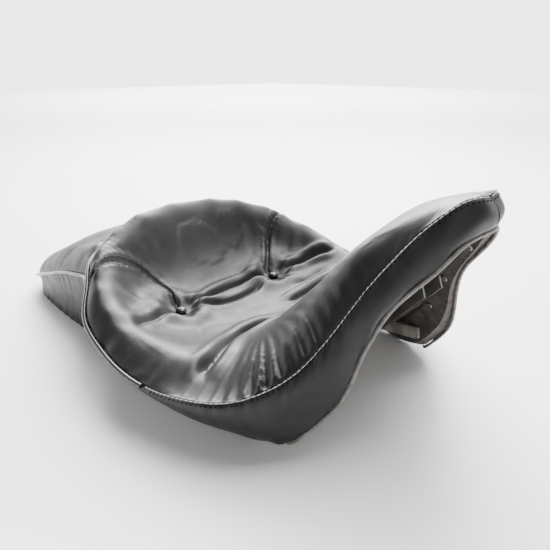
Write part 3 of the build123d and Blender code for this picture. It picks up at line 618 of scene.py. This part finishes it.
def bucket_detail(x, y):
    d, i = chunked(lambda a, b: nearest(LOOP, a, b), x, y)
    s = np.abs(np.interp(i, np.arange(len(SS)), SS))
    arc = np.interp(i, np.arange(len(SS)), ARC)
    z = 0.55 * W1(x, y) * np.clip(d / 40, 0, 1) + 0.22 * W2(x, y) * np.clip(d / 22, 0, 1) + 0.05 * W3(x, y)
    # gathers where the seam turns in under the nose, and lighter ones elsewhere
    far = np.where(y > 0, 0.75, 1.0)
    z = z + 2.3 * far * pucker(arc, 11, 12.5, 20) * np.exp(-((s - 0.335) / 0.10) ** 2) * np.exp(-(d / 36) ** 1.6) * np.clip(d / 4, 0, 1)
    z = z + 0.22 * pucker(arc, 12, 13, 30) * np.exp(-d / 9) * np.clip(d / 2, 0, 1) * np.clip((0.75 - s) * 5, 0.2, 1)
    z = z + 5.0 * np.exp(-((x + 88) / 42) ** 2 - ((y - 104) / 42) ** 2) * np.clip(d / 12, 0, 1)
    z = z + 0.13 * pucker(arc, 13, 6, 11) * np.exp(-((s - 0.86) / 0.10) ** 2) * np.exp(-((d - 14) / 12) ** 2)
    for S in (NEAR_SEAM, FAR_SEAM):
        z = z + crease(x, y, S, 2.7, 2.1, 0.55, 0.05)
        P = polyline(S)
        q, j = chunked(lambda a, b: nearest(np.c_[P, 0 * P[:, 0]], a, b), x, y)
        z = z + 1.6 * np.exp(-((q - 13) / 9) ** 2) * np.clip(j / 8, 0, 1) * np.clip((59 - j) / 8, 0, 1)
        z = z + 0.35 * np.sin(j * 2.0) * np.exp(-(q / 7) ** 2)
    for pts, dep, wid, lip, tap in FOLDS:
        z = z + crease(x, y, pts, dep, wid, lip, tap)
    for sy in (-1, 1):
        r = np.hypot(x, y - sy * 75)
        a = np.arctan2(y - sy * 75, x)
        z = z + 6.4 * np.exp(-((r - 27) / 13) ** 2) * (1 + 0.16 * np.sin(5 * a + sy)) - 0.8 * np.exp(-(r / 8) ** 2)
        z = z + 0.9 * np.sin(9 * a + 1.3 * sy + 0.8 * np.sin(2 * a)) * np.exp(-((r - 15) / 8) ** 2)
    z = z - 2.2 * np.exp(-((x - 34) ** 2 + (y + 186) ** 2) / 60.0)
    return z


def bucket_grid(nr, nc, detail=True):
    q = np.linspace(0, 1, nr)
    q = 0.72 * q + 0.28 * (1 - np.cos(np.pi * q)) / 2
    s = S_TIP + (0.9965 - S_TIP) * q
    k = np.clip((s - S_TIP) / (S_J - S_TIP), 0, 1)
    k2 = np.clip((s - S_J) / (1 - S_J), 0, 1)
    mid = spline([0, .03, .1, .2, .35, .5, .65, .8, .92, 1.0], [298.8, 292, 272, 243, 190, 140, 92, 48, 14, 0])(k)
    mid2 = spline([0, .2, .45, .68, .85, .95, 1], [0, -30, -70, -102, -121, -129, -131.8])(k2)
    mid = np.where(s > S_J, mid2, mid)
    p = spline([0, .2, .5, .8, 1.0], [2.0, 2.0, 2.2, 2.8, 3.4])(k) - 1.3 * k2
    t = cosine(nc)
    e = SEAM(s)
    X = mid[:, None] + (e[:, :1] - mid[:, None]) * np.abs(t)[None] ** p[:, None]
    Y = e[:, 1:2] * t[None]
    Z = chunked(height, X, Y)
    if detail:
        Z = Z + bucket_detail(X, Y)
    return np.stack([X, Y, Z], 2)


def under_of(G, drop, inset, centre):
    B = G.copy()
    c = np.array(centre)
    B[..., :2] = c + (B[..., :2] - c) * (1 - inset)
    B[..., 2] -= drop
    return B


def simulate(G, pinned, seed=0, slack=0.035, frames=14, cap=3.5):
    """Cloth pass over an open grid of cover: pinned along its seams and at its tufts,
    cut a little large and pressed out by the foam, so it settles into its own folds.
    Returns the grid's movement, capped, in station millimetres."""
    a, b = G.shape[:2]
    V = M(G).reshape(-1, 3)
    me = bpy.data.meshes.new("cloth_tmp")
    me.from_pydata([tuple(v) for v in V.tolist()], [], grid_faces(a, b))
    ob = bpy.data.objects.new("cloth_tmp", me)
    bpy.context.collection.objects.link(ob)
    vg = ob.vertex_groups.new(name="pin")
    pin = pinned.ravel()
    vg.add([int(i) for i in np.nonzero(pin > 0.5)[0]], 1.0, "REPLACE")
    md = ob.modifiers.new("Cloth", "CLOTH")
    cs = md.settings
    cs.quality = 6
    cs.mass = 0.35
    cs.tension_stiffness = 18
    cs.compression_stiffness = 18
    cs.shear_stiffness = 8
    cs.bending_stiffness = 6.0
    cs.vertex_group_mass = "pin"
    cs.shrink_min = -slack
    cs.use_pressure = True
    cs.uniform_pressure_force = 1.5
    cs.effector_weights.gravity = 0
    md.collision_settings.use_collision = False
    md.collision_settings.use_self_collision = False
    sc = bpy.context.scene
    md.point_cache.frame_start = 1
    md.point_cache.frame_end = frames
    for f in range(1, frames + 1):
        sc.frame_set(f)
    dg = bpy.context.evaluated_depsgraph_get()
    ev = ob.evaluated_get(dg).to_mesh()
    W = np.empty(len(ev.vertices) * 3)
    ev.vertices.foreach_get("co", W)
    W = W.reshape(-1, 3)
    D = (W - V) * 1000
    ob.evaluated_get(dg).to_mesh_clear()
    bpy.data.objects.remove(ob)
    bpy.data.meshes.remove(me)
    sc.frame_set(1)
    L = np.linalg.norm(D, axis=1, keepdims=True)
    D = D * (np.minimum(L, cap) / np.maximum(L, 1e-9))
    D = D.reshape(a, b, 3)
    print("cloth moved: mean %.2f mm, largest %.2f mm" % (np.linalg.norm(D, axis=2).mean(), np.linalg.norm(D, axis=2).max()))
    return D


def upsample(D, shape):
    a, b = D.shape[:2]
    u = np.linspace(0, a - 1, shape[0])
    v = np.linspace(0, b - 1, shape[1])
    i = np.clip(u.astype(int), 0, a - 2)
    j = np.clip(v.astype(int), 0, b - 2)
    fu, fv = (u - i)[:, None, None], (v - j)[None, :, None]
    fu, fv = fu * fu * (3 - 2 * fu), fv * fv * (3 - 2 * fv)
    A, B = D[i][:, j], D[i + 1][:, j]
    C, E = D[i][:, j + 1], D[i + 1][:, j + 1]
    return (A * (1 - fu) + B * fu) * (1 - fv) + (C * (1 - fu) + E * fu) * fv


NR, NC = 341, 221
G = bucket_grid(NR, NC)
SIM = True
if SIM:
    nr, nc = (NR - 1) // 3 + 1, (NC - 1) // 3 + 1
    Gc = G[::3, ::3]
    pin = np.zeros((nr, nc))
    pin[:2] = pin[-2:] = 1
    pin[:, :2] = pin[:, -2:] = 1
    for S in (NEAR_SEAM, FAR_SEAM):
        P = polyline(S)
        d, _ = chunked(lambda a, b: nearest(np.c_[P, 0 * P[:, 0]], a, b), Gc[..., 0], Gc[..., 1])
        pin[d < 2.6] = 1
    for sy in (-1, 1):
        pin[np.hypot(Gc[..., 0], Gc[..., 1] - sy * 75) < 8] = 1
    P = polyline(FOLDS[0][0])
    d, _ = chunked(lambda a, b: nearest(np.c_[P, 0 * P[:, 0]], a, b), Gc[..., 0], Gc[..., 1])
    pin[d < 2.4] = 1
    D = simulate(Gc, pin, slack=0.004, cap=0.4)
    G = G + upsample(D, (NR, NC))
bucket = shell("bucket_cover", G, under_of(G, 11.0, 0.03, (85.0, 0.0)), LEATHER)
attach(bucket, "root")
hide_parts("seat_panel", "lumbar_panel", "rider_foam", "lumbar_foam")

# ------------------------------------------------------------------ side covers
NS, NV = 520, 44
for name, sg in (("left", 1), ("right", -1)):
    B = band_rows(0.0006, S_J, NS, NV)
    n = normals3(B)
    if (n[..., 1]).mean() < 0:
        n = -n
    s = np.linspace(0, 1, NS)[:, None] * S_J
    v = np.linspace(0, 1, NV)[None]
    arc = (ARC[-1] / 2) * s
    w = 0.55 * W1(B[..., 0] * 1.2 + 40 * sg, B[..., 2] * 1.6 + 17) + 0.28 * W2(B[..., 0] + 90 * sg, B[..., 2] * 1.5)
    w = w * np.clip(v * 6, 0, 1) * np.clip((1 - v) * 8, 0.15, 1)
    w = w + 0.85 * pucker(arc, 21 + sg, 11, 19) * np.exp(-((s - 0.335) / 0.11) ** 2) * np.exp(-(v / 0.30) ** 1.5) * np.clip(v * 12, 0, 1)
    w = w + 0.30 * pucker(arc, 31 + sg, 14, 32) * np.exp(-v * 5) * np.clip(v * 14, 0, 1)
    w = w + 0.55 * pucker(arc, 41 + sg, 22, 40) * np.clip((v - 0.72) * 3.5, 0, 1)
    w = w - 0.9 * np.exp(-(v / 0.02) ** 2)
    A = B + n * w[..., None]
    I = A - n * 2.0
    I[..., 2] -= 2.2 * (1 - np.clip(v * 8, 0, 1))
    m = np.array([1, sg, 1.0])
    ob = shell("side_cover_" + name, A * m, I * m, [LEATHER_SIDE, BACKING], split=True)
    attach(ob, "root")
    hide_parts("side_band_" + name)
    if sg == 1:
        BAND_L, BAND_NL = A, n
    else:
        BAND_R, BAND_NR = A, n

# ------------------------------------------------------------------ pillion cover
PG = pillion_rows(130, 181)
x, y = PG[..., 0], PG[..., 1]
d, i = chunked(lambda a, b: nearest(P_LOOP, a, b), x, y)
dr, ir = chunked(lambda a, b: nearest(RIM, a, b), x, y)
L0 = np.r_[0, np.cumsum(np.linalg.norm(np.diff(P_LOOP, axis=0), axis=1))]
arc = np.interp(i, np.arange(len(P_LOOP)), L0)
z = 0.9 * W1(x + 300, y) * np.clip(d / 30, 0, 1) * np.clip(dr / 30, 0, 1) + 0.3 * W2(x, y + 200) * np.clip(d / 14, 0, 1)
z = z + 0.42 * pucker(arc, 51, 14, 30) * np.exp(-d / 10) * np.clip(d / 2, 0, 1)
arr = np.interp(ir, np.arange(len(RIM)), np.r_[0, np.cumsum(np.linalg.norm(np.diff(RIM, axis=0), axis=1))])
z = z + 0.5 * pucker(arr, 52, 15, 30) * np.exp(-dr / 16) * np.clip(dr / 3, 0, 1)
PG[..., 2] += z
if SIM:
    nr, nc = PG[::3, ::3].shape[:2]
    pin = np.zeros((nr, nc))
    pin[:2] = pin[-2:] = 1
    pin[:, :2] = pin[:, -2:] = 1
    PG = PG + upsample(simulate(PG[::3, ::3], pin, slack=0.004, cap=0.4), PG.shape[:2])
pil = shell("pillion_cover", PG, under_of(PG, 9.0, 0.03, (-200.0, 0.0)), LEATHER)
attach(pil, "root")
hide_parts("pillion_top_panel", "pillion_foam")
for name, sg in (("left", 1), ("right", -1)):
    B = pillion_band_rows(0.004, 0.9992, 300, 26)
    n = normals3(B)
    if n[..., 1].mean() < 0:
        n = -n
    v = np.linspace(0, 1, 26)[None]
    arc = np.linspace(0, 520, 300)[:, None]
    w = (0.5 * W1(B[..., 0] + 70 * sg, B[..., 2] * 1.8) + 0.25 * W2(B[..., 0], B[..., 2] * 1.6 + 60 * sg)) * np.clip(v * 6, 0, 1) * np.clip((1 - v) * 8, 0, 1)
    w = w + 0.45 * pucker(arc, 61 + sg, 14, 30) * np.exp(-v * 4) * np.clip(v * 10, 0, 1)
    w = w + 0.45 * pucker(arc, 71 + sg, 20, 36) * np.clip((v - 0.7) * 3, 0, 1)
    A = B + n * w[..., None]
    I = A - n * 2.0
    I[..., 2] = np.maximum(I[..., 2], B[..., 2].min())
    m = np.array([1, sg, 1.0])
    ob = shell("pillion_side_" + name, A * m, I * m, [LEATHER_SIDE, BACKING], split=True)
    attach(ob, "root")
    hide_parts("pillion_band_" + name)
    if sg == 1:
        PB = A

# ------------------------------------------------------------------ cover edge turned in under the pan
PR = pan_rows(81)
PRS = spline(np.arange(len(PR)), PR.reshape(len(PR), -1))(np.linspace(0, len(PR) - 1, 420)).reshape(420, 81, 3)
PN = normals3(PRS)
PN *= np.sign(PN[:, 40:41, 2:3])
for name, sg in (("left", 1), ("right", -1)):
    hem = np.concatenate([HEM(np.linspace(0.004, S_J - 0.012, 260)), LOWER(np.linspace(0.06, 0.90, 150))])
    rows = []
    last = 0
    cand = PRS[:, -1]
    for h in hem:
        k = np.linalg.norm(cand[last:last + 60] - h, axis=1).argmin() + last
        last = k
        e = [PRS[k, 80 - j] - PN[k, 80 - j] * 0.5 for j in (0, 2, 4, 7, 10)]
        mid = (h + e[0]) / 2
        rows.append([h + (e[0] - h) * 0.04 + [0, 0, 0.6], mid + [0, 0, 0.5]] + e)
    R = np.array(rows)
    for _ in range(6):
        R[1:-1, 1:] = (R[:-2, 1:] + 2 * R[1:-1, 1:] + R[2:, 1:]) / 4
    n = normals3(R)
    if n[..., 2].mean() < 0:
        n = -n
    m = np.array([1, sg, 1.0])
    ob = shell("turned_edge_" + name, R * m, (R + n * 0.3) * m, FLAP)
    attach(ob, "root")

# ------------------------------------------------------------------ thread
def tubes(name, segs, r, mat, sides=6):
    V, F = [], []
    for a, b, up in segs:
        t = b - a
        L = np.linalg.norm(t)
        if L < 1e-6:
            continue
        t = t / L
        u = up - t * (up @ t)
        u /= np.linalg.norm(u) + 1e-12
        w = np.cross(t, u)
        o = len(V)
        for q, k, h in ((0.0, 0.35, -0.5), (0.14, 0.9, -0.05), (0.5, 1.0, 0.25), (0.86, 0.9, -0.05), (1.0, 0.35, -0.5)):
            c = a + t * L * q + u * h * r
            for j in range(sides):
                an = 2 * np.pi * j / sides
                V.append(c + (u * np.cos(an) + w * np.sin(an)) * r * k)
        for i in range(4):
            for j in range(sides):
                F.append([o + i * sides + j, o + i * sides + (j + 1) % sides, o + (i + 1) * sides + (j + 1) % sides, o + (i + 1) * sides + j])
        F.append([o + j for j in range(sides)][::-1])
        F.append([o + 4 * sides + j for j in range(sides)])
    ob = make_mesh(name, M(np.array(V)), F, mat)
    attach(ob, "root")
    return ob


def stitch_line(P, N, pitch, length, lift):
    d = np.r_[0, np.cumsum(np.linalg.norm(np.diff(P, axis=0), axis=1))]
    n = int(d[-1] // pitch)
    out = []
    for k in range(n):
        u0, u1 = k * pitch + 0.5, k * pitch + 0.5 + length
        a = np.array([np.interp(u0, d, P[:, c]) for c in range(3)])
        b = np.array([np.interp(u1, d, P[:, c]) for c in range(3)])
        up = np.array([np.interp(u0, d, N[:, c]) for c in range(3)])
        up /= np.linalg.norm(up)
        out.append((a + up * lift, b + up * lift, up))
    return out


# top-stitched seam round the nose and thighs: thread on the side cover, and above it near-black marks that are painted
# shade for the needle holes
segs, hole_shade_segs = [], []
for A, N, sg in ((BAND_L, BAND_NL, 1), (BAND_R, BAND_NR, -1)):
    m = np.array([1, sg, 1.0])
    dv = np.linalg.norm(np.diff(A, axis=1), axis=2).cumsum(1)
    k_end = int(NS * 0.5 / S_J)
    P, Q, NN = [], [], []
    for i in range(2, k_end):
        for tgt, lst in ((1.3, P), (4.2, Q)):
            j = np.searchsorted(dv[i], tgt)
            f = (tgt - (dv[i, j - 1] if j else 0)) / (dv[i, j] - (dv[i, j - 1] if j else 0))
            lst.append(A[i, j] + (A[i, j + 1] - A[i, j]) * f)
        NN.append(N[i, 2])
    P, Q, NN = np.array(P) * m, np.array(Q) * m, np.array(NN) * m
    segs += stitch_line(P, NN, 4.6, 4.2, 0.35)
    # short near-black tubes along the seam: painted shade of the needle holes
    hole_shade_segs += stitch_line(Q, NN, 4.6, 1.9, 0.02)
tubes("seam_thread", segs, 0.46, THREAD)
tubes("needle_hole_shade_marks", hole_shade_segs, 0.62, HOLE_SHADE_PAINT)

segs = []
for S in (NEAR_SEAM, FAR_SEAM):
    P = polyline(S, 90)[6:-3]
    t = np.gradient(P, axis=0)
    t /= np.linalg.norm(t, axis=1, keepdims=True)
    nn = np.stack([-t[:, 1], t[:, 0]], 1)
    for off in (-3.6, 3.6):
        Q = P + nn * off
        z = chunked(height, Q[:, 0], Q[:, 1]) + bucket_detail(Q[:, 0], Q[:, 1])
        Q3 = np.c_[Q, z]
        e = 1.0
        zx = chunked(height, Q[:, 0] + e, Q[:, 1]) - chunked(height, Q[:, 0] - e, Q[:, 1])
        zy = chunked(height, Q[:, 0], Q[:, 1] + e) - chunked(height, Q[:, 0], Q[:, 1] - e)
        N = np.c_[-zx / 2, -zy / 2, np.ones(len(Q))]
        N /= np.linalg.norm(N, axis=1, keepdims=True)
        segs += stitch_line(Q3, N, 4.4, 3.3, 0.45)
tubes("panel_thread", segs, 0.45, THREAD_D)

# ------------------------------------------------------------------ buttons
for name, sg in (("left", 1), ("right", -1)):
    lo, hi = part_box("button_" + name)
    lo, hi = np.array(lo), np.array(hi)
    c = (lo + hi) / 2
    R, H = (hi[0] - lo[0]) / 2, hi[2] - lo[2]
    V, F, ns = [], [], 48
    prof = [(0.0, 0.98), (0.22, 0.96), (0.45, 0.88), (0.66, 0.74), (0.83, 0.53), (0.94, 0.30), (0.995, 0.10), (0.97, -0.05), (0.80, -0.12), (0.0, -0.12)]
    V.append((c[0], c[1], lo[2] + H * prof[0][1]))
    for pr, pz in prof[1:-1]:
        for j in range(ns):
            an = 2 * np.pi * j / ns
            k = 1 + 0.012 * np.sin(an * 12 + sg) * (pr > 0.6)
            V.append((c[0] + R * pr * k * np.cos(an), c[1] + R * pr * k * np.sin(an), lo[2] + H * pz))
    V.append((c[0], c[1], lo[2] - H * 0.12))
    for j in range(ns):
        F.append([0, 1 + j, 1 + (j + 1) % ns])
    nr = len(prof) - 2
    for i in range(nr - 1):
        for j in range(ns):
            F.append([1 + i * ns + j, 1 + (i + 1) * ns + j, 1 + (i + 1) * ns + (j + 1) % ns, 1 + i * ns + (j + 1) % ns])
    last = len(V) - 1
    for j in range(ns):
        F.append([last, 1 + (nr - 1) * ns + (j + 1) % ns, 1 + (nr - 1) * ns + j])
    ob = make_mesh("tuft_button_" + name, np.array(V), F, PIPING)
    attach(ob, "root")
    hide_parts("button_" + name)

# ------------------------------------------------------------------ finishes on the CAD nodes
FINISH = {"bucket_piping": PIPING, "pillion_piping": PIPING, "hem_trim": TRIM, "base_pan": PAN_M,
          "front_bracket": STEEL_B, "rear_bracket": STEEL_B, "front_bracket_rivets": ZINC, "rear_bracket_screws": ZINC,
          "cover_rivets": ZINC, "front_buffers": RUBBER, "rear_buffers": RUBBER, "rest_bar_left": BAR, "rest_bar_right": BAR,
          "button_anchor_left": WASHER, "button_anchor_right": WASHER, "button_twine_left": TWINE, "button_twine_right": TWINE}
for node, mat in FINISH.items():
    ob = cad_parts[node]
    for sl in ob.material_slots:
        sl.material = mat

# ------------------------------------------------------------------ floor, light, camera
me = bpy.data.meshes.new("floor")
n = 40
xs = np.linspace(-7.0, 7.0, n)
V = [(x, y, 0.0) for x in xs for y in xs]
me.from_pydata(V, [], grid_faces(n, n))
floor = bpy.data.objects.new("floor", me)
bpy.context.collection.objects.link(floor)
fm, nt, bs = node_mat("floor_pale")
nt.links.new(ramp(nt, tex(nt, "noise", 3.0, 3, 0.5), [(0.3, (0.90, 0.90, 0.895)), (0.7, (0.93, 0.93, 0.925))]), bs.inputs["Base Color"])
bs.inputs["Roughness"].default_value = 0.55
me.materials.append(fm)
floor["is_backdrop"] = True

w = bpy.data.worlds.new("studio") if not bpy.context.scene.world else bpy.context.scene.world
bpy.context.scene.world = w
w.use_nodes = True
wt = w.node_tree
bg = wt.nodes.get("Background")
bg.inputs[0].default_value = (0.97, 0.98, 1.0, 1)


def wnode(kind, **inputs):
    nd = wt.nodes.new(kind)
    for k, v in inputs.items():
        setattr(nd, k, v)
    return nd


# softbox room: bright behind the seat, dimmer overhead and in front
wc = wnode("ShaderNodeTexCoord")
dot = wnode("ShaderNodeVectorMath", operation="DOT_PRODUCT")
dot.inputs[1].default_value = (-0.706, 0.708, 0.0)
wt.links.new(wc.outputs["Generated"], dot.inputs[0])
m1 = wnode("ShaderNodeMapRange", interpolation_type="SMOOTHSTEP")
for k, v in (("From Min", -0.6), ("From Max", 0.6), ("To Min", 0.8), ("To Max", 4.0)):
    m1.inputs[k].default_value = v
wt.links.new(dot.outputs["Value"], m1.inputs["Value"])
sep = wnode("ShaderNodeSeparateXYZ")
wt.links.new(wc.outputs["Generated"], sep.inputs[0])
m2 = wnode("ShaderNodeMapRange", interpolation_type="SMOOTHSTEP")
for k, v in (("From Min", 0.14), ("From Max", 0.6), ("To Min", 1.0), ("To Max", 0.16)):
    m2.inputs[k].default_value = v
wt.links.new(sep.outputs["Z"], m2.inputs["Value"])
mul = wnode("ShaderNodeMath", operation="MULTIPLY")
wt.links.new(m1.outputs["Result"], mul.inputs[0])
wt.links.new(m2.outputs["Result"], mul.inputs[1])
wt.links.new(mul.outputs[0], bg.inputs[1])


def area(name, loc, target, size, power, color=(1, 1, 1)):
    L = bpy.data.lights.new(name, "AREA")
    L.shape = "RECTANGLE"
    L.size, L.size_y = size
    L.energy = power
    L.color = color
    ob = bpy.data.objects.new(name, L)
    ob.location = loc
    ob.rotation_euler = (Vector(target) - Vector(loc)).to_track_quat("-Z", "Y").to_euler()
    bpy.context.collection.objects.link(ob)
    return ob


area("key_back", (-0.9, 0.9, 1.5), (0.0, 0.0, 0.05), (1.7, 1.3), 100, (1.0, 0.98, 0.95))
area("top_soft", (0.3, 0.5, 1.7), (0.05, 0.0, 0.05), (1.3, 1.1), 60)
for name, loc, target, size, power in (
        ("floor_back", (-3.2, 3.2, 2.8), (-2.4, 2.4, 0.0), (4.5, 3.0), 560),
        ("floor_far", (-6.0, 6.0, 3.4), (-5.4, 5.4, 0.0), (7.0, 4.0), 1500)):
    area(name, loc, target, size, power).data.specular_factor = 0.0
area("fill_front", (1.5, -0.9, 0.9), (0.1, 0.0, 0.1), (1.0, 0.8), 6, (1.0, 0.97, 0.93))

cam_d = bpy.data.cameras.new("camera")
cam = bpy.data.objects.new("camera", cam_d)
bpy.context.collection.objects.link(cam)
cam_d.lens = 32.73
cam_d.sensor_width = 36.0
cam_d.clip_start = 0.02
cam_d.clip_end = 20
PH, PITCH = math.radians(44.9), math.radians(22.7)
head = Vector((-math.sin(PH), math.cos(PH), 0))
fwd = head * math.cos(PITCH) + Vector((0, 0, -math.sin(PITCH)))
cam.location = (0.4575, -0.364, 0.309)
cam.rotation_euler = fwd.to_track_quat("-Z", "Y").to_euler()
bpy.context.scene.camera = cam

lo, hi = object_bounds()
